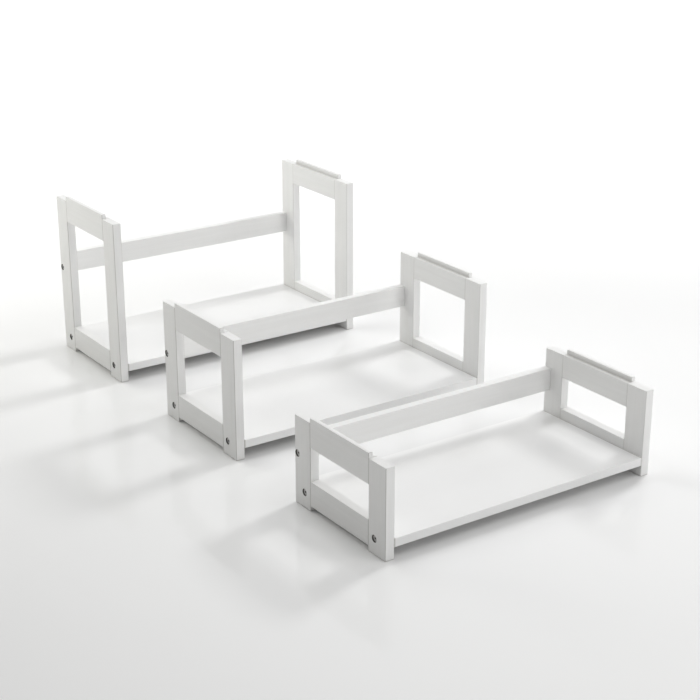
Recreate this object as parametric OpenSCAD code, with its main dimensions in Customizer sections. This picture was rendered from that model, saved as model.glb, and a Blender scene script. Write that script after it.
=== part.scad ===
// Set of three stacking shelf units in white painted wood: a tall, a middle
// and a low unit of the same width and depth, standing in a row so that they
// step down from the rear to the front. Each unit is two side frames, a shelf
// board and a back rail. The side frames are dowelled and glued; the shelf and
// the back rail are drawn to them with socket bolts and barrel nuts, so a unit
// packs flat. A tongue on top of each side frame enters the recess under the
// side frame of the unit that is stacked on it.
//
// Origin: on the floor, in the middle of the middle unit and of the whole set.
// +X to the right along the shelves, +Y to the rear, +Z up. Millimetres.

/* [Set] */
// Outer width of a unit, across the side frames
unit_w = 660; // [480:5:900]
// Depth of a unit, front to rear
unit_d = 302; // [270:2:380]
// Distance from one unit to the next, front to rear
unit_pitch = 530; // [460:5:700]

/* [Heights] */
// Height of the tall unit's posts
tall_h = 384; // [330:1:430]
// Height of the middle unit's posts
mid_h = 267; // [240:1:300]
// Height of the low unit's posts
low_h = 187; // [180:1:220]
// Height of the middle of the tall unit's back rail
tall_back_z = 219; // [150:1:250]
// Height of the middle of the middle unit's back rail
mid_back_z = 160; // [120:1:180]
// Height of the middle of the low unit's back rail
low_back_z = 120; // [100:1:140]

/* [Side frames] */
// Thickness of posts and rails
frame_t = 20; // [20:0.5:24]
// Width of a post, seen from the side
post_w = 54; // [48:1:66]
// Height of the top rail below the post tops
top_rail_h = 52; // [48:1:60]
// Height of the bottom rail's upper edge above the floor
bottom_rail_top = 64; // [62:1:74]
// Radius of the eased long edges
ease_r = 1.5; // [0.5:0.25:2]

/* [Stacking joint] */
// Height of the tongue above the post tops
tongue_h = 10.5; // [6:0.5:11]
// Thickness of the tongue, from the outer face inwards
tongue_t = 9.5; // [8:0.25:9.75]
// Height of the recess under the bottom rail
recess_h = 11; // [11:0.5:13]
// Gap below the lip at the inner side of the recess
lip_gap = 1.5; // [1:0.25:3]
// Side play between tongue and lip
side_play = 0.5; // [0.25:0.25:1]
// End play between tongue and posts, at each end
end_play = 0.5; // [0.25:0.25:1.5]

/* [Shelf and back rail] */
// Thickness of the shelf board
shelf_t = 18; // [18:0.5:22]
// Height of the shelf's underside above the floor
shelf_z = 24; // [22:0.5:26]
// Thickness of the back rail
back_t = 18; // [18:0.5:22]
// Height of the back rail
back_h = 50; // [46:1:60]

/* [Fasteners] */
// Nominal diameter of the bolts
bolt_d = 6; // [5:0.5:6]
// Length of the bolts under the head
bolt_l = 50; // [45:5:60]
// Diameter of the bolt heads
head_d = 13.6; // [11:0.2:13.8]
// Thickness of the bolt heads
head_h = 3; // [2:0.5:4]
// Diameter of the counterbores
sink_d = 14.4; // [14:0.2:14.6]
// Depth of the counterbores
sink_h = 5; // [5:0.5:6]
// Width across flats of the hexagon socket
socket_af = 4; // [3:0.5:4]
// Distance of the front shelf bolts from the front
bolt_front = 35; // [30:1:38]
// Distance of the rear shelf bolts from the rear
bolt_rear = 33; // [30:1:38]
// Distance of the back rail bolts below the rail's middle
bolt_drop = 12; // [10:0.5:14]
// Diameter of the wooden dowels
dowel_d = 8; // [6:0.5:8]
// Length of the dowels in the side frames
dowel_l = 40; // [30:2:40]

/* [Hidden] */

$fn = 48;

// Unit numbers, used as an index into the lists of heights and places
TALL = 0;
MID = 1;
LOW = 2;
LEFT = -1;
RIGHT = 1;

post_h = [tall_h, mid_h, low_h];
back_z = [tall_back_z, mid_back_z, low_back_z];
unit_y = [unit_pitch, 0, -unit_pitch];

hw = unit_w / 2;
hd = unit_d / 2;
// length of the rails between the posts
rail_l = unit_d - 2 * post_w;
// length of the shelf and of the back rail between the side frames
inner_l = unit_w - 2 * frame_t;
shelf_mid_z = shelf_z + shelf_t / 2;
bottom_mid_z = (recess_h + bottom_rail_top) / 2;
lip_t = frame_t - tongue_t - side_play;

// fits
dowel_gap = 0.05;
shank_gap = 0.5;
nut_gap = 0.1;
thread_gap = 0.05;
hole_extra = 0.5;

// dowels of the side frames: depth from the outer face, and half their spacing
dowel_x = 11;
dowel_s = 16;
// dowels in shelf and back rail: length, and depth into the side frame
short_dowel_l = 30;
short_dowel_in = 11;
shelf_dowel_y = 50;

// barrel nuts: diameter, length, distance from the board's end, and depth of their holes
nut_d = 10;
nut_l = 12;
nut_x = 28;
nut_hole = 15;

wood_white = [0.93, 0.93, 0.92];
beech = [0.80, 0.66, 0.47];
nickel = [0.72, 0.72, 0.73];
zinc = [0.63, 0.64, 0.66];

// ---------- placing ----------

// puts what is modelled in a unit's own place on that unit's stand in the row
module in_unit(u) translate([0, unit_y[u], 0]) children();

// everything about the side frames is modelled on the left
module on_side(s) {
    if (s == LEFT) children();
    else mirror([1, 0, 0]) children();
}

// the front or rear post's middle, front to rear
function post_y(front) = front ? -hd + post_w / 2 : hd - post_w / 2;

// heights of the two dowels in a rail's end
function top_dowel_z(u) = [for (k = [-1, 1]) post_h[u] - top_rail_h / 2 + k * dowel_s];
function bottom_dowel_z() = [for (k = [-1, 1]) bottom_mid_z + k * dowel_s];

// where the bolts go through the posts: [front to rear, height]
function rear_bolts(u) = [[hd - bolt_rear, shelf_mid_z], [hd - back_t / 2, back_z[u] - bolt_drop]];
function front_bolts(u) = [[-hd + bolt_front, shelf_mid_z]];

// ---------- shapes ----------

// rectangle with eased corners, from the origin
module eased(w, h, r) {
    translate([r, 0]) square([w - 2 * r, h]);
    translate([0, r]) square([w, h - 2 * r]);
    for (x = [r, w - r], y = [r, h - r]) translate([x, y]) circle(r = r);
}

// extrudes an outline drawn in X and Z along Y, centred on Y = 0
module along_y(l) translate([0, l / 2, 0]) rotate([90, 0, 0]) linear_extrude(height = l) children();

// extrudes an outline drawn in Y and Z along X, centred on X = 0
module along_x(l) translate([-l / 2, 0, 0]) rotate([90, 0, 90]) linear_extrude(height = l) children();

// round hole or rod along X or Y, starting at the origin
module rod_x(d, l) rotate([0, 90, 0]) cylinder(d = d, h = l);
module rod_y(d, l) rotate([-90, 0, 0]) cylinder(d = d, h = l);

// dowel with chamfered ends, along Z from the origin
module dowel(d, l) {
    c = 1;
    rotate_extrude()
        polygon([[0, 0], [d / 2 - c, 0], [d / 2, c], [d / 2, l - c], [d / 2 - c, l], [0, l]]);
}

// bolt hole of a post, along X from the outer face: counterbore and shank hole
module bolt_hole(t) {
    translate([-1, 0, 0]) rod_x(sink_d, sink_h + 1);
    rod_x(bolt_d + 2 * shank_gap, t + 1);
}

// socket bolt along X, its head's top at the origin
module bolt() {
    c = 0.6;
    r = head_d / 2;
    rotate([0, 90, 0]) difference() {
        rotate_extrude()
            polygon([
                [0, 0], [r - c, 0], [r, c], [r, head_h],
                [bolt_d / 2, head_h],
                [bolt_d / 2, head_h + bolt_l - 1], [bolt_d / 2 - 1, head_h + bolt_l],
                [0, head_h + bolt_l]
            ]);
        translate([0, 0, -1]) cylinder(d = socket_af / cos(30), h = 4.2, $fn = 6);
    }
}

// barrel nut along Z, its thread along X at the origin
module barrel_nut() {
    difference() {
        translate([0, 0, -nut_l / 2]) cylinder(d = nut_d, h = nut_l);
        translate([-nut_d, 0, 0]) rod_x(bolt_d + 2 * thread_gap, 2 * nut_d);
        translate([-nut_d, -0.6, -nut_l / 2 - 1]) cube([2 * nut_d, 1.2, 2.2]);
    }
}

// ---------- pieces of the left side frame ----------

module post(u, front) {
    bolts = front ? front_bolts(u) : rear_bolts(u);
    y0 = post_y(front) - post_w / 2;
    depth = dowel_l / 2 + hole_extra;
    // the face that meets the rails
    joint_y = front ? y0 + post_w : y0;
    difference() {
        translate([-hw, y0, 0]) linear_extrude(height = post_h[u]) eased(frame_t, post_w, ease_r);
        for (b = bolts) translate([-hw, b[0], b[1]]) bolt_hole(frame_t);
        for (z = concat(top_dowel_z(u), bottom_dowel_z()))
            translate([-hw + dowel_x, front ? joint_y - depth : joint_y - 1, z])
                rod_y(dowel_d + 2 * dowel_gap, depth + 1);
        if (!front)
            translate([-hw + frame_t - short_dowel_in - hole_extra, hd - back_t / 2, back_z[u] + bolt_drop])
                rod_x(dowel_d + 2 * dowel_gap, frame_t);
    }
}

module rail_end_holes(zs) {
    depth = dowel_l / 2 + hole_extra;
    for (z = zs, s = [-1, 1])
        translate([-hw + dowel_x, s < 0 ? -rail_l / 2 - 1 : rail_l / 2 - depth, z])
            rod_y(dowel_d + 2 * dowel_gap, depth + 1);
}

module top_rail(u) {
    z = post_h[u];
    difference() {
        translate([-hw, 0, 0]) along_y(rail_l) {
            translate([0, z - top_rail_h]) eased(frame_t, top_rail_h, ease_r);
            translate([0, z - top_rail_h / 2]) eased(tongue_t, top_rail_h / 2 + tongue_h, 1);
        }
        for (s = [-1, 1])
            translate([-hw - 1, s * rail_l / 2 - end_play, z]) cube([tongue_t + 2, 2 * end_play, tongue_h + 1]);
        rail_end_holes(top_dowel_z(u));
    }
}

module bottom_rail(u) {
    difference() {
        translate([-hw, 0, 0]) along_y(rail_l) {
            translate([0, recess_h]) eased(frame_t, bottom_rail_top - recess_h, ease_r);
            translate([frame_t - lip_t, lip_gap]) eased(lip_t, bottom_rail_top / 2, 1);
        }
        rail_end_holes(bottom_dowel_z());
        for (s = [-1, 1])
            translate([-hw + frame_t - short_dowel_in - hole_extra, s * shelf_dowel_y, shelf_mid_z])
                rod_x(dowel_d + 2 * dowel_gap, frame_t);
    }
}

// ---------- boards between the side frames ----------

module shelf_board(u) {
    end = inner_l / 2;
    difference() {
        along_x(inner_l) translate([-hd, shelf_z]) eased(unit_d, shelf_t, ease_r);
        for (s = [LEFT, RIGHT]) on_side(s) {
            for (y = [-hd + bolt_front, hd - bolt_rear]) {
                translate([-end - 1, y, shelf_mid_z]) rod_x(bolt_d + 2 * shank_gap, bolt_l - 9);
                translate([-end + nut_x, y, shelf_z - 1]) cylinder(d = nut_d + 2 * nut_gap, h = nut_hole + 1);
            }
            for (y = [-shelf_dowel_y, shelf_dowel_y])
                translate([-end - 1, y, shelf_mid_z])
                    rod_x(dowel_d + 2 * dowel_gap, short_dowel_l - short_dowel_in + hole_extra + 1);
        }
    }
}

module back_board(u) {
    end = inner_l / 2;
    z = back_z[u];
    difference() {
        along_x(inner_l) translate([hd - back_t, z - back_h / 2]) eased(back_t, back_h, ease_r);
        for (s = [LEFT, RIGHT]) on_side(s) {
            translate([-end - 1, hd - back_t / 2, z - bolt_drop]) rod_x(bolt_d + 2 * shank_gap, bolt_l - 9);
            translate([-end + nut_x, hd - nut_hole, z - bolt_drop]) rod_y(nut_d + 2 * nut_gap, nut_hole + 1);
            translate([-end - 1, hd - back_t / 2, z + bolt_drop])
                rod_x(dowel_d + 2 * dowel_gap, short_dowel_l - short_dowel_in + hole_extra + 1);
        }
    }
}

// ---------- fasteners of a unit ----------

module unit_bolts(u) {
    for (s = [LEFT, RIGHT]) on_side(s)
        for (b = concat(front_bolts(u), rear_bolts(u)))
            translate([-hw + sink_h - head_h, b[0], b[1]]) bolt();
}

module unit_nuts(u) {
    x = -inner_l / 2 + nut_x;
    for (s = [LEFT, RIGHT]) on_side(s) {
        for (y = [-hd + bolt_front, hd - bolt_rear]) translate([x, y, shelf_mid_z]) barrel_nut();
        translate([x, hd - back_t / 2, back_z[u] - bolt_drop]) rotate([90, 0, 0]) barrel_nut();
    }
}

module unit_frame_dowels(u) {
    for (s = [LEFT, RIGHT]) on_side(s)
        for (z = concat(top_dowel_z(u), bottom_dowel_z()), e = [-1, 1])
            translate([-hw + dowel_x, e * rail_l / 2 - dowel_l / 2, z]) rotate([-90, 0, 0]) dowel(dowel_d, dowel_l);
}

module short_dowel() translate([-inner_l / 2 - short_dowel_in, 0, 0]) rotate([0, 90, 0]) dowel(dowel_d, short_dowel_l);

module unit_shelf_dowels(u) {
    for (s = [LEFT, RIGHT]) on_side(s)
        for (y = [-shelf_dowel_y, shelf_dowel_y]) translate([0, y, shelf_mid_z]) short_dowel();
}

module unit_rail_dowels(u) {
    for (s = [LEFT, RIGHT]) on_side(s) translate([0, hd - back_t / 2, back_z[u] + bolt_drop]) short_dowel();
}

// ---------- tall unit ----------

module tall_left_front_post() color(wood_white) in_unit(TALL) on_side(LEFT) post(TALL, true);
module tall_left_rear_post() color(wood_white) in_unit(TALL) on_side(LEFT) post(TALL, false);
module tall_left_top_rail() color(wood_white) in_unit(TALL) on_side(LEFT) top_rail(TALL);
module tall_left_bottom_rail() color(wood_white) in_unit(TALL) on_side(LEFT) bottom_rail(TALL);
module tall_right_front_post() color(wood_white) in_unit(TALL) on_side(RIGHT) post(TALL, true);
module tall_right_rear_post() color(wood_white) in_unit(TALL) on_side(RIGHT) post(TALL, false);
module tall_right_top_rail() color(wood_white) in_unit(TALL) on_side(RIGHT) top_rail(TALL);
module tall_right_bottom_rail() color(wood_white) in_unit(TALL) on_side(RIGHT) bottom_rail(TALL);
module tall_shelf() color(wood_white) in_unit(TALL) shelf_board(TALL);
module tall_back_rail() color(wood_white) in_unit(TALL) back_board(TALL);
module tall_bolts() color(nickel) in_unit(TALL) unit_bolts(TALL);
module tall_barrel_nuts() color(zinc) in_unit(TALL) unit_nuts(TALL);
module tall_frame_dowels() color(beech) in_unit(TALL) unit_frame_dowels(TALL);
module tall_shelf_dowels() color(beech) in_unit(TALL) unit_shelf_dowels(TALL);
module tall_rail_dowels() color(beech) in_unit(TALL) unit_rail_dowels(TALL);

// ---------- middle unit ----------

module mid_left_front_post() color(wood_white) in_unit(MID) on_side(LEFT) post(MID, true);
module mid_left_rear_post() color(wood_white) in_unit(MID) on_side(LEFT) post(MID, false);
module mid_left_top_rail() color(wood_white) in_unit(MID) on_side(LEFT) top_rail(MID);
module mid_left_bottom_rail() color(wood_white) in_unit(MID) on_side(LEFT) bottom_rail(MID);
module mid_right_front_post() color(wood_white) in_unit(MID) on_side(RIGHT) post(MID, true);
module mid_right_rear_post() color(wood_white) in_unit(MID) on_side(RIGHT) post(MID, false);
module mid_right_top_rail() color(wood_white) in_unit(MID) on_side(RIGHT) top_rail(MID);
module mid_right_bottom_rail() color(wood_white) in_unit(MID) on_side(RIGHT) bottom_rail(MID);
module mid_shelf() color(wood_white) in_unit(MID) shelf_board(MID);
module mid_back_rail() color(wood_white) in_unit(MID) back_board(MID);
module mid_bolts() color(nickel) in_unit(MID) unit_bolts(MID);
module mid_barrel_nuts() color(zinc) in_unit(MID) unit_nuts(MID);
module mid_frame_dowels() color(beech) in_unit(MID) unit_frame_dowels(MID);
module mid_shelf_dowels() color(beech) in_unit(MID) unit_shelf_dowels(MID);
module mid_rail_dowels() color(beech) in_unit(MID) unit_rail_dowels(MID);

// ---------- low unit ----------

module low_left_front_post() color(wood_white) in_unit(LOW) on_side(LEFT) post(LOW, true);
module low_left_rear_post() color(wood_white) in_unit(LOW) on_side(LEFT) post(LOW, false);
module low_left_top_rail() color(wood_white) in_unit(LOW) on_side(LEFT) top_rail(LOW);
module low_left_bottom_rail() color(wood_white) in_unit(LOW) on_side(LEFT) bottom_rail(LOW);
module low_right_front_post() color(wood_white) in_unit(LOW) on_side(RIGHT) post(LOW, true);
module low_right_rear_post() color(wood_white) in_unit(LOW) on_side(RIGHT) post(LOW, false);
module low_right_top_rail() color(wood_white) in_unit(LOW) on_side(RIGHT) top_rail(LOW);
module low_right_bottom_rail() color(wood_white) in_unit(LOW) on_side(RIGHT) bottom_rail(LOW);
module low_shelf() color(wood_white) in_unit(LOW) shelf_board(LOW);
module low_back_rail() color(wood_white) in_unit(LOW) back_board(LOW);
module low_bolts() color(nickel) in_unit(LOW) unit_bolts(LOW);
module low_barrel_nuts() color(zinc) in_unit(LOW) unit_nuts(LOW);
module low_frame_dowels() color(beech) in_unit(LOW) unit_frame_dowels(LOW);
module low_shelf_dowels() color(beech) in_unit(LOW) unit_shelf_dowels(LOW);
module low_rail_dowels() color(beech) in_unit(LOW) unit_rail_dowels(LOW);

tall_left_front_post();
tall_left_rear_post();
tall_left_top_rail();
tall_left_bottom_rail();
tall_right_front_post();
tall_right_rear_post();
tall_right_top_rail();
tall_right_bottom_rail();
tall_shelf();
tall_back_rail();
tall_bolts();
tall_barrel_nuts();
tall_frame_dowels();
tall_shelf_dowels();
tall_rail_dowels();
mid_left_front_post();
mid_left_rear_post();
mid_left_top_rail();
mid_left_bottom_rail();
mid_right_front_post();
mid_right_rear_post();
mid_right_top_rail();
mid_right_bottom_rail();
mid_shelf();
mid_back_rail();
mid_bolts();
mid_barrel_nuts();
mid_frame_dowels();
mid_shelf_dowels();
mid_rail_dowels();
low_left_front_post();
low_left_rear_post();
low_left_top_rail();
low_left_bottom_rail();
low_right_front_post();
low_right_rear_post();
low_right_top_rail();
low_right_bottom_rail();
low_shelf();
low_back_rail();
low_bolts();
low_barrel_nuts();
low_frame_dowels();
low_shelf_dowels();
low_rail_dowels();
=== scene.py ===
import math

import bmesh
import bpy
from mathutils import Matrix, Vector


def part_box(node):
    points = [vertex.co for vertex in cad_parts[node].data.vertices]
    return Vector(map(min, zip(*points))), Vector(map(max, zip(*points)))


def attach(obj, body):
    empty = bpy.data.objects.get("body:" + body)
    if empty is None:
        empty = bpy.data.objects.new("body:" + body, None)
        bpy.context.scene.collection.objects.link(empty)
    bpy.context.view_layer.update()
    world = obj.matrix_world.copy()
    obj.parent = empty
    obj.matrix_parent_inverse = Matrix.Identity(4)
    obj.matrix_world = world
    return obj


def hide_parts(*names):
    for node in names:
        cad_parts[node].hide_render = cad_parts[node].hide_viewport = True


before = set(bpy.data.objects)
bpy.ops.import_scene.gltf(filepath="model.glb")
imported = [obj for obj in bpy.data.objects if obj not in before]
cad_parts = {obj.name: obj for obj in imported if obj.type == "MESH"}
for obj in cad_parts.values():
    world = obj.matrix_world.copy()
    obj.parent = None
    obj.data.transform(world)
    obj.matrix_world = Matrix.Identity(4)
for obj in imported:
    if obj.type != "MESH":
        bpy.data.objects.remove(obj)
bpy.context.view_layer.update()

# Three stacking shelf units in white lacquered wood. Every wooden piece is
# modelled with eased edges on all sides and with its bores, and every bolt
# with its turned head and hexagon socket. Metres, in the frame of the model.

scene = bpy.context.scene
MM = 0.001

UNITS = {  # unit: (its middle front to rear, height of the back rail's middle)
    "tall": (0.530, 0.219),
    "mid": (0.0, 0.160),
    "low": (-0.530, 0.120),
}
HALF_W, HALF_D = 0.330, 0.151
FRAME_T = 20 * MM
SHELF_MID = 33 * MM
BOLT_FRONT, BOLT_REAR, BOLT_DROP = 35 * MM, 33 * MM, 12 * MM
BACK_T = 18 * MM
SINK_D, SINK_H = 14.4 * MM, 5 * MM
HEAD_D, HEAD_H = 13.6 * MM, 3 * MM
TONGUE_T, LIP_T = 9.5 * MM, 10 * MM
DOWEL_X, DOWEL_S = 11 * MM, 16 * MM
DOWEL_HOLE = 8.1 * MM
EASE = 1.2 * MM       # long edges
EASE_END = 0.9 * MM   # cut ends
FOOT = 1.8 * MM       # lower ends of the posts
HEM = 4 * MM          # strip along the ends of a shelf
ARC = 4               # faces in a quarter turn of an eased edge


# ---------------------------------------------------------------- mesh tools

def outline(corners, inset):
    """Closed outline with right-angled corners (a, b, radius), moved inwards by inset. Outer corners are round."""
    area = sum(p[0] * q[1] - q[0] * p[1] for p, q in zip(corners, corners[1:] + corners[:1]))
    if area < 0:
        corners = corners[::-1]
    n, out = len(corners), []
    for i, (a, b, r) in enumerate(corners):
        here = Vector((a, b))
        e1 = (here - Vector(corners[i - 1][:2])).normalized()
        e2 = (Vector(corners[(i + 1) % n][:2]) - here).normalized()
        n1, n2 = Vector((-e1.y, e1.x)), Vector((-e2.y, e2.x))
        if e1.x * e2.y - e1.y * e2.x > 0 and r > 0:
            c, rr = here + (n1 + n2) * r, r - inset
            a0 = math.atan2(-n1.y, -n1.x)
            for k in range(ARC + 1):
                t = a0 + math.pi / 2 * k / ARC
                out.append((c.x + rr * math.cos(t), c.y + rr * math.sin(t)))
        else:
            p = here + (n1 + n2) * inset
            out.append((p.x, p.y))
    return out


def rect(a0, a1, b0, b1, r=EASE):
    return [(a0, b0, r), (a1, b0, r), (a1, b1, r), (a0, b1, r)]


def prism(corners, c0, c1, place, r0=EASE_END, r1=EASE_END, hem=()):
    """Board with the given outline, from c0 to c1 along its length, its cut ends eased by r0 and r1. place(a, b, c) gives a point.
    hem lists distances from both ends where the mesh is divided once more."""
    bm = bmesh.new()
    turn = [math.pi / 2 * k / ARC for k in range(ARC + 1)]
    stops = [(c0 + r0 * (1 - math.cos(t)), r0 * (1 - math.sin(t))) for t in turn] + [(c0 + h, 0.0) for h in hem]
    ends = [(c1 - h, 0.0) for h in reversed(hem)] + [(c1 - r1 * (1 - math.cos(t)), r1 * (1 - math.sin(t))) for t in turn[::-1]]
    rings = []
    for c, d in stops + ends:
        rings.append([bm.verts.new(place(a, b, c)) for a, b in outline(corners, d)])
    for r0, r1 in zip(rings, rings[1:]):
        for i in range(len(r0)):
            j = (i + 1) % len(r0)
            bm.faces.new((r0[i], r0[j], r1[j], r1[i]))
    bm.faces.new(rings[0][::-1])
    bm.faces.new(rings[-1])
    bmesh.ops.recalc_face_normals(bm, faces=bm.faces[:])
    return bm


def lathe(bm, profile, origin, axis, seg=48, material=0):
    """Adds a closed turned solid: profile is (radius, distance along axis) from one end on the axis to the other."""
    axis = Vector(axis).normalized()
    u = axis.orthogonal().normalized()
    v = axis.cross(u)
    rings = []
    for r, h in profile:
        base = Vector(origin) + axis * h
        if r < 1e-9:
            rings.append([bm.verts.new(base)])
        else:
            rings.append([bm.verts.new(base + (u * math.cos(2 * math.pi * k / seg) + v * math.sin(2 * math.pi * k / seg)) * r) for k in range(seg)])
    made = []
    for r0, r1 in zip(rings, rings[1:]):
        for k in range(seg):
            j = (k + 1) % seg
            if len(r0) == 1 and len(r1) == 1:
                continue
            if len(r0) == 1:
                f = bm.faces.new((r0[0], r1[j], r1[k]))
            elif len(r1) == 1:
                f = bm.faces.new((r0[k], r0[j], r1[0]))
            else:
                f = bm.faces.new((r0[k], r0[j], r1[j], r1[k]))
            f.material_index = material
            made.append(f)
    bmesh.ops.recalc_face_normals(bm, faces=made)
    return made


def to_object(bm, name, materials):
    me = bpy.data.meshes.new(name)
    bm.to_mesh(me)
    bm.free()
    ob = bpy.data.objects.new(name, me)
    scene.collection.objects.link(ob)
    for m in materials:
        me.materials.append(m)
    return ob


def drill(ob, cutters):
    """Takes the turned cutters out of ob. The walls get ob's second material."""
    tools = []
    for i, (profile, origin, axis) in enumerate(cutters):
        bm = bmesh.new()
        lathe(bm, profile, origin, axis, 40, material=1)
        tool = to_object(bm, f"tool_{i}", list(ob.data.materials))
        tools.append(tool)
        m = ob.modifiers.new(f"bore_{i}", "BOOLEAN")
        m.operation, m.solver, m.object = "DIFFERENCE", "EXACT", tool
        m.material_mode = "INDEX"
    graph = bpy.context.evaluated_depsgraph_get()
    mesh = bpy.data.meshes.new_from_object(ob.evaluated_get(graph), depsgraph=graph)
    old, name = ob.data, ob.data.name
    ob.modifiers.clear()
    ob.data = mesh
    bpy.data.meshes.remove(old)
    mesh.name = name
    # a wall facet that the cut leaves out is put back
    bm = bmesh.new()
    bm.from_mesh(mesh)
    rims = [e for e in bm.edges if e.is_boundary]
    if rims:
        for f in bmesh.ops.holes_fill(bm, edges=rims, sides=8)["faces"]:
            f.material_index = 1
        bmesh.ops.recalc_face_normals(bm, faces=bm.faces[:])
        bm.to_mesh(mesh)
    bm.free()
    for t in tools:
        me = t.data
        bpy.data.objects.remove(t)
        bpy.data.meshes.remove(me)


def finish_shape(ob, angle=34):
    """Smooth eased edges, flat faces and sharp rims."""
    me = ob.data
    for p in me.polygons:
        p.use_smooth = True
    me.set_sharp_from_angle(angle=math.radians(angle))
    m = ob.modifiers.new("even_normals", "WEIGHTED_NORMAL")
    m.mode, m.weight, m.keep_sharp = "FACE_AREA", 80, True
    return ob


def round_share(far, r):
    """Share of an eased edge at a depth below the face it starts from: 1 half way round, 0 where it ends."""
    return math.sin(2 * math.acos(1 - far / r)) if 0 < far < r else 0.0


def paint_edge_shade(ob, lo, hi, axis, edges, first, first_r, last):
    """Marks painted shade for the lacquer: on the long edges of a board along axis, and on the edges of its ends."""
    me = ob.data
    layer = me.attributes.new("painted_shade", "FLOAT", "POINT")
    for v, mark in zip(me.vertices, layer.data):
        a, b = ((min(v.co[i] - lo[i], hi[i] - v.co[i])) for i in range(3) if i != axis)
        start, stop = v.co[axis] - lo[axis], hi[axis] - v.co[axis]
        ends = max(first * round_share(start, first_r), last * round_share(stop, EASE_END))
        inside = start > 1e-6 and stop > 1e-6
        mark.value = max(ends, edges * min(round_share(a, EASE), round_share(b, EASE)) if inside else 0.0)


def paint_corner_shade(ob, lo, hi, x, z, share):
    """Marks painted shade along an inner corner of a rail, fading out over the two faces that meet there."""
    for v, mark in zip(ob.data.vertices, ob.data.attributes["painted_shade"].data):
        inside = min(v.co.y - lo.y, hi.y - v.co.y) > 1e-6
        if inside and math.hypot(v.co.x - x, v.co.z - z) < 1.5 * MM:
            mark.value = max(mark.value, share)


def paint_end_shade(ob, lo, hi, share):
    """Marks painted shade along the ends of a shelf, where it meets the side frames, fading out within HEM."""
    layer = ob.data.attributes.new("painted_shade", "FLOAT", "POINT")
    for v, mark in zip(ob.data.vertices, layer.data):
        far = min(v.co.x - lo.x, hi.x - v.co.x)
        mark.value = share * max(0.0, 1.0 - far / HEM)


def bore(r, depth, flare=0.0):
    """Profile of a blind hole from a face inwards, with a little play outside the face and a drill point."""
    p = [(0, -1 * MM), (r + flare, -1 * MM)]
    if flare:
        p += [(r + flare, 0), (r, flare)]
    return p + [(r, depth), (0, depth + r * 0.25)]


# ---------------------------------------------------------------- materials

def nodes_of(name):
    m = bpy.data.materials.new(name)
    m.use_nodes = True
    nt = m.node_tree
    bsdf = nt.nodes["Principled BSDF"]
    return m, nt, bsdf


def add(nt, kind, **values):
    n = nt.nodes.new(kind)
    for k, v in values.items():
        setattr(n, k, v)
    return n


def noise(nt, vec, scale, detail=3.0, rough=0.55, distortion=0.0):
    n = add(nt, "ShaderNodeTexNoise")
    n.inputs["Scale"].default_value = scale
    n.inputs["Detail"].default_value = detail
    n.inputs["Roughness"].default_value = rough
    n.inputs["Distortion"].default_value = distortion
    nt.links.new(vec, n.inputs["Vector"])
    return n.outputs["Fac"]


def stretched(nt, scale, offset=(0, 0, 0)):
    c = add(nt, "ShaderNodeTexCoord")
    m = add(nt, "ShaderNodeMapping")
    m.inputs["Scale"].default_value = scale
    m.inputs["Location"].default_value = offset
    nt.links.new(c.outputs["Object"], m.inputs["Vector"])
    return m.outputs["Vector"]


def ramp(nt, fac, stops):
    r = add(nt, "ShaderNodeValToRGB")
    e = r.color_ramp.elements
    while len(e) < len(stops):
        e.new(0.5)
    for el, (pos, col) in zip(e, stops):
        el.position = pos
        el.color = (*col, 1) if len(col) == 3 else col
    nt.links.new(fac, r.inputs["Fac"])
    return r.outputs["Color"]


def mapped(nt, fac, lo, hi, a=0.0, b=1.0):
    r = add(nt, "ShaderNodeMapRange")
    r.inputs["From Min"].default_value, r.inputs["From Max"].default_value = a, b
    r.inputs["To Min"].default_value, r.inputs["To Max"].default_value = lo, hi
    nt.links.new(fac, r.inputs["Value"])
    return r.outputs["Result"]


def mix_colour(nt, fac, a, b, mode="MIX"):
    n = add(nt, "ShaderNodeMix", data_type="RGBA", blend_type=mode)
    for s, v in ((n.inputs["Factor"], fac), (n.inputs[6], a), (n.inputs[7], b)):
        if hasattr(v, "is_linked"):
            nt.links.new(v, s)
        elif isinstance(v, (int, float)):
            s.default_value = v
        else:
            s.default_value = (*v, 1)
    return n.outputs[2]


def bump(nt, height, strength, distance, below=None):
    b = add(nt, "ShaderNodeBump")
    b.inputs["Strength"].default_value = strength
    b.inputs["Distance"].default_value = distance
    nt.links.new(height, b.inputs["Height"])
    if below is not None:
        nt.links.new(below, b.inputs["Normal"])
    return b.outputs["Normal"]


def along(axis, length, across):
    """Texture scale for streaks along one axis: length and across in waves per metre."""
    return tuple(length if i == axis else across for i in range(3))


PAINT_DARK, PAINT_LIGHT = (0.837, 0.835, 0.824), (0.876, 0.875, 0.866)


def with_painted_shade(nt, cloud, base):
    """The paint's colour, greyer as painted shade where the mesh marks it, a little unevenly."""
    edge = add(nt, "ShaderNodeAttribute", attribute_name="painted_shade")
    shade_amount = add(nt, "ShaderNodeMath", operation="MULTIPLY")
    nt.links.new(edge.outputs["Fac"], shade_amount.inputs[0])
    nt.links.new(mapped(nt, cloud, 0.78, 0.96, 0.3, 0.7), shade_amount.inputs[1])
    # the grey tone below is painted shade along edges, joints, corners and feet
    return mix_colour(nt, shade_amount.outputs[0], base, (0.46, 0.445, 0.415))


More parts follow.
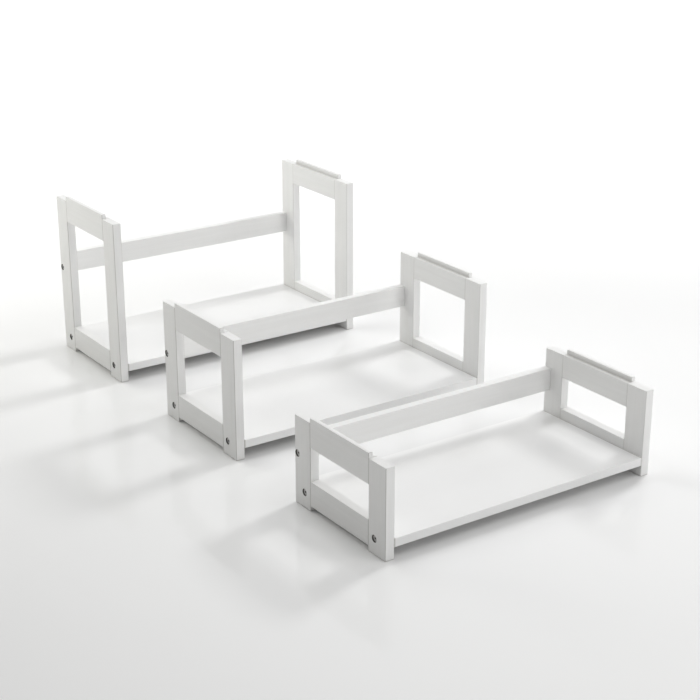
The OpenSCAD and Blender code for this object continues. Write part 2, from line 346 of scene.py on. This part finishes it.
def lacquered_wood(name, axis, shift):
    """White satin lacquer on solid wood: the grain shows faintly through the film, along the piece."""
    m, nt, bsdf = nodes_of(name)
    off = (shift * 0.37, shift * 0.71, shift * 0.53)
    broad = noise(nt, stretched(nt, along(axis, 3.0, 70.0), off), 1.0, 3.0, 0.6, 0.6)
    fine = noise(nt, stretched(nt, along(axis, 16.0, 620.0), off), 1.0, 4.0, 0.65, 0.3)
    pores = noise(nt, stretched(nt, along(axis, 45.0, 1500.0), off), 1.0, 2.0, 0.5)
    spray = noise(nt, stretched(nt, (420.0, 420.0, 420.0), off), 1.0, 2.0, 0.5)
    cloud = noise(nt, stretched(nt, (7.0, 7.0, 7.0), off), 1.0, 2.0, 0.5)
    base = ramp(nt, broad, [(0.30, PAINT_DARK), (0.70, PAINT_LIGHT)])
    base = mix_colour(nt, mapped(nt, fine, 0.0, 0.10, 0.45, 0.75), base, (0.76, 0.755, 0.73))
    pore_mask = mapped(nt, pores, 0.0, 0.16, 0.62, 0.78)
    base = mix_colour(nt, pore_mask, base, (0.66, 0.65, 0.62))
    # greyed as painted shade along the marked edges, joints and feet
    base = with_painted_shade(nt, cloud, base)
    nt.links.new(base, bsdf.inputs["Base Color"])
    nt.links.new(mapped(nt, cloud, 0.34, 0.44, 0.3, 0.7), bsdf.inputs["Roughness"])
    h1 = bump(nt, fine, 0.22, 0.00025)
    h2 = bump(nt, pores, 0.12, 0.00012, h1)
    h3 = bump(nt, spray, 0.05, 0.0001, h2)
    nt.links.new(h3, bsdf.inputs["Normal"])
    bsdf.inputs["IOR"].default_value = 1.48
    bsdf.inputs["Coat Weight"].default_value = 0.15
    bsdf.inputs["Coat Roughness"].default_value = 0.22
    return m


def lacquered_board(name, axis, shift):
    """White satin lacquer on a smooth board: no grain, only the fine skin of the sprayed film, greyed as painted shade
    where the mesh marks it.
    """
    m, nt, bsdf = nodes_of(name)
    off = (shift * 0.41, shift * 0.29, shift * 0.67)
    cloud = noise(nt, stretched(nt, (5.0, 5.0, 5.0), off), 1.0, 3.0, 0.55)
    roller = noise(nt, stretched(nt, along(axis, 40.0, 260.0), off), 1.0, 3.0, 0.6)
    spray = noise(nt, stretched(nt, (520.0, 520.0, 520.0), off), 1.0, 2.0, 0.5)
    base = ramp(nt, cloud, [(0.30, (0.848, 0.847, 0.840)), (0.70, (0.878, 0.877, 0.872))])
    base = mix_colour(nt, mapped(nt, roller, 0.0, 0.06, 0.4, 0.75), base, (0.80, 0.795, 0.775))
    # greyed as painted shade along the shelf's ends
    base = with_painted_shade(nt, cloud, base)
    nt.links.new(base, bsdf.inputs["Base Color"])
    nt.links.new(mapped(nt, cloud, 0.29, 0.36, 0.3, 0.7), bsdf.inputs["Roughness"])
    h1 = bump(nt, roller, 0.06, 0.0001)
    h2 = bump(nt, spray, 0.06, 0.00008, h1)
    nt.links.new(h2, bsdf.inputs["Normal"])
    bsdf.inputs["IOR"].default_value = 1.48
    bsdf.inputs["Coat Weight"].default_value = 0.2
    bsdf.inputs["Coat Roughness"].default_value = 0.18
    return m


def bare_wood(name, light, dark, axis):
    """Unpainted wood: rings along the piece, with short darker rays."""
    m, nt, bsdf = nodes_of(name)
    rings = noise(nt, stretched(nt, along(axis, 20.0, 420.0)), 1.0, 5.0, 0.65, 0.8)
    rays = noise(nt, stretched(nt, along(axis, 160.0, 1600.0)), 1.0, 2.0, 0.5)
    base = ramp(nt, rings, [(0.28, dark), (0.72, light)])
    base = mix_colour(nt, mapped(nt, rays, 0.0, 0.35, 0.58, 0.74), base, tuple(c * 0.62 for c in dark))
    nt.links.new(base, bsdf.inputs["Base Color"])
    nt.links.new(mapped(nt, rings, 0.62, 0.78), bsdf.inputs["Roughness"])
    nt.links.new(bump(nt, rings, 0.4, 0.0003), bsdf.inputs["Normal"])
    return m


def plated_steel(name, light, dark, rough, scratches=True):
    """Plated steel: turned marks round the axis where the piece has them, fine scratches and a mottled film."""
    m, nt, bsdf = nodes_of(name)
    mottle = noise(nt, stretched(nt, (900.0, 900.0, 900.0)), 1.0, 4.0, 0.6)
    lines = noise(nt, stretched(nt, (300.0, 5200.0, 5200.0)), 1.0, 2.0, 0.5)
    base = ramp(nt, mottle, [(0.30, dark), (0.72, light)])
    nt.links.new(base, bsdf.inputs["Base Color"])
    bsdf.inputs["Metallic"].default_value = 1.0
    nt.links.new(mapped(nt, mottle, rough - 0.06, rough + 0.08, 0.3, 0.7), bsdf.inputs["Roughness"])
    h = bump(nt, mottle, 0.10, 0.00004)
    if scratches:
        turned = add(nt, "ShaderNodeAttribute", attribute_name="turned")
        wave = add(nt, "ShaderNodeMath", operation="SINE")
        scale = add(nt, "ShaderNodeMath", operation="MULTIPLY")
        scale.inputs[1].default_value = 2 * math.pi / 0.00045
        nt.links.new(turned.outputs["Fac"], scale.inputs[0])
        nt.links.new(scale.outputs[0], wave.inputs[0])
        h = bump(nt, wave.outputs[0], 0.18, 0.00003, h)
    h = bump(nt, lines, 0.05, 0.00003, h)
    nt.links.new(h, bsdf.inputs["Normal"])
    return m


# The grain runs along each piece, and neighbouring pieces are cut from different wood.
_wood = {}


def wood_for(axis, number):
    key = (axis, number % 6)
    if key not in _wood:
        _wood[key] = lacquered_wood(f"white_lacquer_on_wood_{'xyz'[axis]}{key[1]}", axis, 3.1 * key[1] + 1.0)
    return _wood[key]


shelf_lacquer = lacquered_board("white_lacquer_on_board", 0, 2.0)
# bare wood for the walls of the bores, coloured far darker than the wood as painted shade inside the holes
bored = bare_wood("bore_wood_darkened_as_shade", (0.150, 0.139, 0.123), (0.092, 0.084, 0.073), 0)
beech = bare_wood("beech_dowel", (0.66, 0.50, 0.33), (0.50, 0.35, 0.21), 1)
nickel = plated_steel("nickel_plated_steel", (0.60, 0.59, 0.575), (0.47, 0.46, 0.45), 0.35)
# steel for the hexagon sockets, far darker than the plated head as painted shade inside the sockets
socket = plated_steel("steel_darkened_as_socket_shade", (0.13, 0.128, 0.122), (0.075, 0.073, 0.07), 0.46)
zinc = plated_steel("zinc_plated_steel", (0.60, 0.62, 0.65), (0.47, 0.49, 0.53), 0.38, scratches=False)


# ---------------------------------------------------------------- pieces

def piece(ob, unit, node):
    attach(ob, f"{unit}_unit")
    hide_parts(node)
    return ob


def bolt_places(unit):
    """Where bolts enter the outer faces: (front to rear, height)."""
    y, back = UNITS[unit]
    return {
        "front": [(y - HALF_D + BOLT_FRONT, SHELF_MID)],
        "rear": [(y + HALF_D - BOLT_REAR, SHELF_MID), (y + HALF_D - BACK_T / 2, back - BOLT_DROP)],
    }


def sink(side, y, z):
    """Stepped bolt hole through a post, from its outer face inwards."""
    r, f = SINK_D / 2, 0.35 * MM
    profile = [
        (0, -1 * MM), (r + f, -1 * MM), (r + f, 0), (r, f), (r, SINK_H),
        (3.5 * MM, SINK_H), (3.5 * MM, FRAME_T + 1 * MM), (0, FRAME_T + 1 * MM),
    ]
    return profile, (side * HALF_W, y, z), (-side, 0, 0)


count = 0
for unit, (mid_y, back_z) in UNITS.items():
    for side_name, side in (("left", -1), ("right", 1)):
        outer, inner = side * HALF_W, side * (HALF_W - FRAME_T)
        # painted shade on the edges, full on the left frames, which face away from the key light, and less on the right
        side_edge_shade = 1.0 if side < 0 else 0.45
        xa, xb = min(outer, inner), max(outer, inner)
        bolts = bolt_places(unit)
        top_lo, top_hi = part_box(f"{unit}_{side_name}_top_rail")
        low_lo, low_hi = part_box(f"{unit}_{side_name}_bottom_rail")
        post_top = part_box(f"{unit}_{side_name}_front_post")[1].z
        recess = 11 * MM
        top_mid = (top_lo.z + post_top) / 2
        low_mid = (recess + low_hi.z) / 2
        dowel_z = [top_mid - DOWEL_S, top_mid + DOWEL_S, low_mid - DOWEL_S, low_mid + DOWEL_S]
        dowel_x = outer - side * DOWEL_X

        for end_name, end in (("front", -1), ("rear", 1)):
            node = f"{unit}_{side_name}_{end_name}_post"
            lo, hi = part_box(node)
            count += 1
            ob = to_object(
                prism(rect(lo.x, hi.x, lo.y, hi.y), lo.z, hi.z, lambda a, b, c: (a, b, c), FOOT),
                node + "_wood", [wood_for(2, count), bored],
            )
            face = hi.y if end < 0 else lo.y
            cuts = [sink(side, y, z) for y, z in bolts[end_name]]
            cuts += [(bore(DOWEL_HOLE / 2, 20.5 * MM), (dowel_x, face, z), (0, end, 0)) for z in dowel_z]
            if end > 0:
                cuts.append((bore(DOWEL_HOLE / 2, 11.5 * MM), (inner, mid_y + HALF_D - BACK_T / 2, back_z + BOLT_DROP), (side, 0, 0)))
            drill(ob, cuts)
            # painted shade along the vertical edges and round the feet, where the posts meet the floor
            paint_edge_shade(ob, lo, hi, 2, side_edge_shade, 1.0, FOOT, 0.0)
            piece(finish_shape(ob), unit, node)

        # top rail: the outer half stands up as the stacking tongue
        node = f"{unit}_{side_name}_top_rail"
        count += 1
        step = outer - side * TONGUE_T
        shape = [
            (outer, top_lo.z, EASE), (inner, top_lo.z, EASE), (inner, post_top, EASE),
            (step, post_top, 0), (step, top_hi.z, 1.3 * MM), (outer, top_hi.z, 1.3 * MM),
        ]
        ob = to_object(prism(shape, top_lo.y, top_hi.y, lambda a, b, c: (a, c, b)), node + "_wood", [wood_for(1, count), bored])
        cuts = [(bore(DOWEL_HOLE / 2, 20.5 * MM), (dowel_x, y, z), (0, d, 0)) for z in dowel_z[:2] for y, d in ((top_lo.y, 1), (top_hi.y, -1))]
        drill(ob, cuts)
        # painted shade at the rail's ends, in the joints with the posts
        paint_edge_shade(ob, top_lo, top_hi, 1, 0.0, side_edge_shade, EASE_END, side_edge_shade)
        # painted shade in the inner corner at the foot of the tongue
        paint_corner_shade(ob, top_lo, top_hi, step, post_top, 0.55)
        piece(finish_shape(ob), unit, node)

        # bottom rail: the inner half hangs down as the lip of the recess
        node = f"{unit}_{side_name}_bottom_rail"
        count += 1
        step = inner + side * LIP_T
        shape = [
            (outer, recess, EASE), (step, recess, 0), (step, low_lo.z, 1.3 * MM),
            (inner, low_lo.z, 1.3 * MM), (inner, low_hi.z, EASE), (outer, low_hi.z, EASE),
        ]
        ob = to_object(prism(shape, low_lo.y, low_hi.y, lambda a, b, c: (a, c, b)), node + "_wood", [wood_for(1, count), bored])
        cuts = [(bore(DOWEL_HOLE / 2, 20.5 * MM), (dowel_x, y, z), (0, d, 0)) for z in dowel_z[2:] for y, d in ((low_lo.y, 1), (low_hi.y, -1))]
        cuts += [(bore(DOWEL_HOLE / 2, 11.5 * MM), (inner, mid_y + y, SHELF_MID), (side, 0, 0)) for y in (-0.05, 0.05)]
        drill(ob, cuts)
        # painted shade at the rail's ends, in the joints with the posts
        paint_edge_shade(ob, low_lo, low_hi, 1, 0.0, side_edge_shade, EASE_END, side_edge_shade)
        piece(finish_shape(ob), unit, node)

    # shelf board
    node = f"{unit}_shelf"
    lo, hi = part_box(node)
    ob = to_object(
        prism(rect(lo.y, hi.y, lo.z, hi.z), lo.x, hi.x, lambda a, b, c: (c, a, b), 0.6 * MM, 0.6 * MM, (HEM,)),
        node + "_board", [shelf_lacquer, bored],
    )
    cuts = []
    for x, d in ((lo.x, 1), (hi.x, -1)):
        for y in (mid_y - HALF_D + BOLT_FRONT, mid_y + HALF_D - BOLT_REAR):
            cuts.append((bore(3.5 * MM, 40 * MM), (x, y, SHELF_MID), (d, 0, 0)))
            cuts.append((bore(5.1 * MM, 15 * MM, 0.3 * MM), (x + d * 28 * MM, y, lo.z), (0, 0, 1)))
        for y in (-0.05, 0.05):
            cuts.append((bore(DOWEL_HOLE / 2, 19.5 * MM), (x, mid_y + y, SHELF_MID), (d, 0, 0)))
    drill(ob, cuts)
    # painted shade along the shelf's ends, where it meets the side frames
    paint_end_shade(ob, lo, hi, 0.95)
    piece(finish_shape(ob), unit, node)

    # back rail
    node = f"{unit}_back_rail"
    lo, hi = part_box(node)
    count += 1
    ob = to_object(
        prism(rect(lo.y, hi.y, lo.z, hi.z), lo.x, hi.x, lambda a, b, c: (c, a, b), 0.6 * MM, 0.6 * MM),
        node + "_wood", [wood_for(0, count), bored],
    )
    cuts = []
    for x, d in ((lo.x, 1), (hi.x, -1)):
        y = hi.y - BACK_T / 2
        cuts.append((bore(3.5 * MM, 40 * MM), (x, y, back_z - BOLT_DROP), (d, 0, 0)))
        cuts.append((bore(5.1 * MM, 15 * MM, 0.3 * MM), (x + d * 28 * MM, hi.y, back_z - BOLT_DROP), (0, -1, 0)))
        cuts.append((bore(DOWEL_HOLE / 2, 19.5 * MM), (x, y, back_z + BOLT_DROP), (d, 0, 0)))
    drill(ob, cuts)
    piece(finish_shape(ob), unit, node)

    # bolts: turned heads with a hexagon socket, plain shanks
    node = f"{unit}_bolts"
    whole = bmesh.new()
    turned = whole.verts.layers.float.new("turned")
    for side in (-1, 1):
        for y, z in bolt_places(unit)["front"] + bolt_places(unit)["rear"]:
            origin = Vector((side * (HALF_W - SINK_H + HEAD_H), y, z))
            axis = Vector((-side, 0, 0))
            r, e = HEAD_D / 2, 0.7 * MM
            hexr = 2.0 * MM / math.cos(math.pi / 6)
            flare, deep = 0.35 * MM, 3.2 * MM
            u = axis.orthogonal().normalized()
            v = axis.cross(u)
            SEG = 48

            def ring(rad, h):
                return [whole.verts.new(origin + axis * h + (u * math.cos(2 * math.pi * k / SEG) + v * math.sin(2 * math.pi * k / SEG)) * rad) for k in range(SEG)]

            def hexring(across, h):
                out = []
                for k in range(SEG):
                    t = 2 * math.pi * k / SEG
                    s = across / 2 / math.cos((t + math.pi / 6) % (math.pi / 3) - math.pi / 6)
                    out.append(whole.verts.new(origin + axis * h + (u * math.cos(t) + v * math.sin(t)) * s))
                return out

            rings = [hexring(4.0 * MM, deep), hexring(4.0 * MM, flare), ring(hexr + flare, 0.05 * MM)]
            rings += [ring(3.6 * MM, 0.0), ring(4.6 * MM, 0.0), ring(r - e, 0.0)]
            rings += [ring(r - e + e * math.sin(t), e - e * math.cos(t)) for t in (math.pi / 8, math.pi / 4, 3 * math.pi / 8, math.pi / 2)]
            rings += [ring(r, HEAD_H - 0.2 * MM), ring(r - 0.2 * MM, HEAD_H), ring(3.0 * MM, HEAD_H)]
            for k in range(30):  # thread, as shallow grooves on the far end of the shank
                h = HEAD_H + 20 * MM + k * 1.0 * MM
                if h > HEAD_H + 49 * MM:
                    break
                rings += [ring(3.0 * MM, h), ring(2.72 * MM, h + 0.4 * MM), ring(2.72 * MM, h + 0.6 * MM)]
            rings += [ring(2.9 * MM, HEAD_H + 49.2 * MM), ring(2.0 * MM, HEAD_H + 50 * MM)]
            # the socket's walls and floor take the darkened steel, painted shade inside the socket
            for n, (r0, r1) in enumerate(zip(rings, rings[1:])):
                for k in range(SEG):
                    j = (k + 1) % SEG
                    whole.faces.new((r0[k], r0[j], r1[j], r1[k])).material_index = 1 if n == 0 else 0
            whole.faces.new(rings[0][::-1]).material_index = 1
            whole.faces.new(rings[-1])
            for rg in rings:
                for vert in rg:
                    p = vert.co - origin
                    vert[turned] = (p - axis * p.dot(axis)).length
    bmesh.ops.recalc_face_normals(whole, faces=whole.faces[:])
    ob = to_object(whole, node + "_steel", [nickel, socket])
    piece(finish_shape(ob, 30), unit, node)

    # pieces that keep their own shape
    for name, mat in (("barrel_nuts", zinc), ("frame_dowels", beech), ("shelf_dowels", beech), ("rail_dowels", beech)):
        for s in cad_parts[f"{unit}_{name}"].material_slots:
            s.material = mat


# ---------------------------------------------------------------- floor

def pale_floor():
    """Polished pale floor that brightens into a white background some way behind and around the units."""
    m, nt, bsdf = nodes_of("pale_polished_floor")
    cloud = noise(nt, stretched(nt, (1.1, 1.1, 1.1)), 1.0, 3.0, 0.5)
    base = ramp(nt, cloud, [(0.3, (0.902, 0.902, 0.897)), (0.7, (0.922, 0.922, 0.918))])
    nt.links.new(base, bsdf.inputs["Base Color"])
    nt.links.new(mapped(nt, cloud, 0.035, 0.05, 0.3, 0.7), bsdf.inputs["Roughness"])
    bsdf.inputs["IOR"].default_value = 1.5
    place = stretched(nt, (1.0, 1.0, 1.0))
    glow = None
    for centre, start, full, strength in FLOOR_GLOW:
        away = add(nt, "ShaderNodeVectorMath", operation="DISTANCE")
        nt.links.new(place, away.inputs[0])
        away.inputs[1].default_value = centre
        far = add(nt, "ShaderNodeMapRange", interpolation_type="SMOOTHSTEP")
        far.inputs["From Min"].default_value, far.inputs["From Max"].default_value = start, full
        far.inputs["To Max"].default_value = strength
        nt.links.new(away.outputs["Value"], far.inputs["Value"])
        if glow is None:
            glow = far.outputs["Result"]
        else:
            both = add(nt, "ShaderNodeMath", operation="ADD")
            nt.links.new(glow, both.inputs[0])
            nt.links.new(far.outputs["Result"], both.inputs[1])
            glow = both.outputs[0]
    bsdf.inputs["Emission Color"].default_value = (1, 1, 1, 1)
    nt.links.new(glow, bsdf.inputs["Emission Strength"])
    return m


# centre, distance where it starts, where it is full, strength
FLOOR_GLOW = [((-0.5, -1.6, 0.0), 2.2, 4.0, 0.41), ((0.0, 0.0, 0.0), 1.9, 4.0, 0.22), ((0.0, 0.0, 0.0), 3.0, 9.0, 0.40)]
me = bpy.data.meshes.new("floor")
S = 40.0
me.from_pydata([(-S, -S, -0.0002), (S, -S, -0.0002), (S, S, -0.0002), (-S, S, -0.0002)], [], [(0, 1, 2, 3)])
me.materials.append(pale_floor())
floor = bpy.data.objects.new("floor", me)
scene.collection.objects.link(floor)


# ---------------------------------------------------------------- light

def panel(name, place, target, width, height, watts, tint=(1.0, 1.0, 1.0), spread=180):
    d = bpy.data.lights.new(name, "AREA")
    d.shape, d.size, d.size_y, d.energy = "RECTANGLE", width, height, watts
    d.color = tint
    d.spread = math.radians(spread)
    ob = bpy.data.objects.new(name, d)
    scene.collection.objects.link(ob)
    ob.location = place
    ob.rotation_euler = (Vector(target) - Vector(place)).to_track_quat("-Z", "Y").to_euler()
    ob.visible_camera = False
    ob.visible_glossy = False
    return ob


# A key softbox high on the right, lights above, and reflectors in front, on the right and at the rear left
CREAM = (1.0, 0.995, 0.92)
panel("key_softbox", (3.34, 0.43, 2.77), (0.0, 0.0, 0.1), 0.75, 0.65, 52.5)
panel("overhead_softbox", (1.6, 0.2, 3.0), (0.0, 0.0, 0.0), 1.0, 1.0, 9.8)
panel("overhead_front_softbox", (0.3, -1.9, 2.8), (0.2, -1.2, 0.0), 2.4, 2.0, 29.2)
panel("overhead_rear_softbox", (-0.3, 0.9, 2.0), (0.3, 0.2, 0.2), 0.8, 0.8, 2.7, tint=(0.965, 0.98, 1.0), spread=90)
panel("front_reflector", (0.9, -3.2, 0.7), (0.2, 0.0, 0.1), 2.4, 1.0, 9.9)
panel("front_right_reflector", (3.6, -5.2, 1.2), (0.0, 0.0, 0.15), 3.2, 2.0, 36.0)
panel("right_reflector", (1.35, -1.5, 0.72), (0.33, 0.3, 0.15), 0.8, 0.8, 0.55, spread=70)
panel("rear_left_reflector", (-1.2, 1.9, 0.9), (0.0, 0.3, 0.2), 1.2, 1.2, 15.4, tint=CREAM)

# Soft room light: even all round, and from a bright backdrop beyond the units
EVEN, BACKDROP = 0.238, 0.72
world = bpy.data.worlds.new("studio")
scene.world = world
world.use_nodes = True
wt = world.node_tree
wt.nodes.clear()
coord = wt.nodes.new("ShaderNodeTexCoord")
dot = wt.nodes.new("ShaderNodeVectorMath")
dot.operation = "DOT_PRODUCT"
dot.inputs[1].default_value = Vector((0.57, 0.82, 0.10)).normalized()
wt.links.new(coord.outputs["Generated"], dot.inputs[0])
clip = wt.nodes.new("ShaderNodeMath")
clip.operation = "MAXIMUM"
clip.inputs[1].default_value = 0.0
wt.links.new(dot.outputs["Value"], clip.inputs[0])
lobe = wt.nodes.new("ShaderNodeMath")
lobe.operation = "POWER"
lobe.inputs[1].default_value = 3.0
wt.links.new(clip.outputs[0], lobe.inputs[0])
room = wt.nodes.new("ShaderNodeMath")
room.operation = "MULTIPLY_ADD"
room.inputs[1].default_value, room.inputs[2].default_value = BACKDROP, EVEN
wt.links.new(lobe.outputs[0], room.inputs[0])
bg = wt.nodes.new("ShaderNodeBackground")
bg.inputs["Color"].default_value = (1.0, 1.0, 1.0, 1)
wt.links.new(room.outputs[0], bg.inputs["Strength"])
# Seen directly, the room is plain and pale
plain = wt.nodes.new("ShaderNodeBackground")
plain.inputs["Color"].default_value = (0.95, 0.95, 0.95, 1)
seen = wt.nodes.new("ShaderNodeLightPath")
both = wt.nodes.new("ShaderNodeMixShader")
wt.links.new(seen.outputs["Is Camera Ray"], both.inputs[0])
wt.links.new(bg.outputs[0], both.inputs[1])
wt.links.new(plain.outputs[0], both.inputs[2])
out = wt.nodes.new("ShaderNodeOutputWorld")
wt.links.new(both.outputs[0], out.inputs["Surface"])

scene.view_settings.view_transform = "Standard"
scene.view_settings.look = "None"
scene.view_settings.exposure = 0.0
scene.view_settings.gamma = 1.0

# ---------------------------------------------------------------- camera

cam_data = bpy.data.cameras.new("camera")
cam_data.sensor_fit, cam_data.sensor_width = "HORIZONTAL", 36.0
cam_data.lens = 80.03
cam_data.clip_start, cam_data.clip_end = 0.05, 200.0
cam = bpy.data.objects.new("camera", cam_data)
scene.collection.objects.link(cam)
cam.location = (-1.80389, -2.71428, 1.36394)
cam.rotation_euler = (math.radians(69.2532), 0.0, math.radians(-34.4749))
scene.camera = cam

bpy.context.view_layer.update()
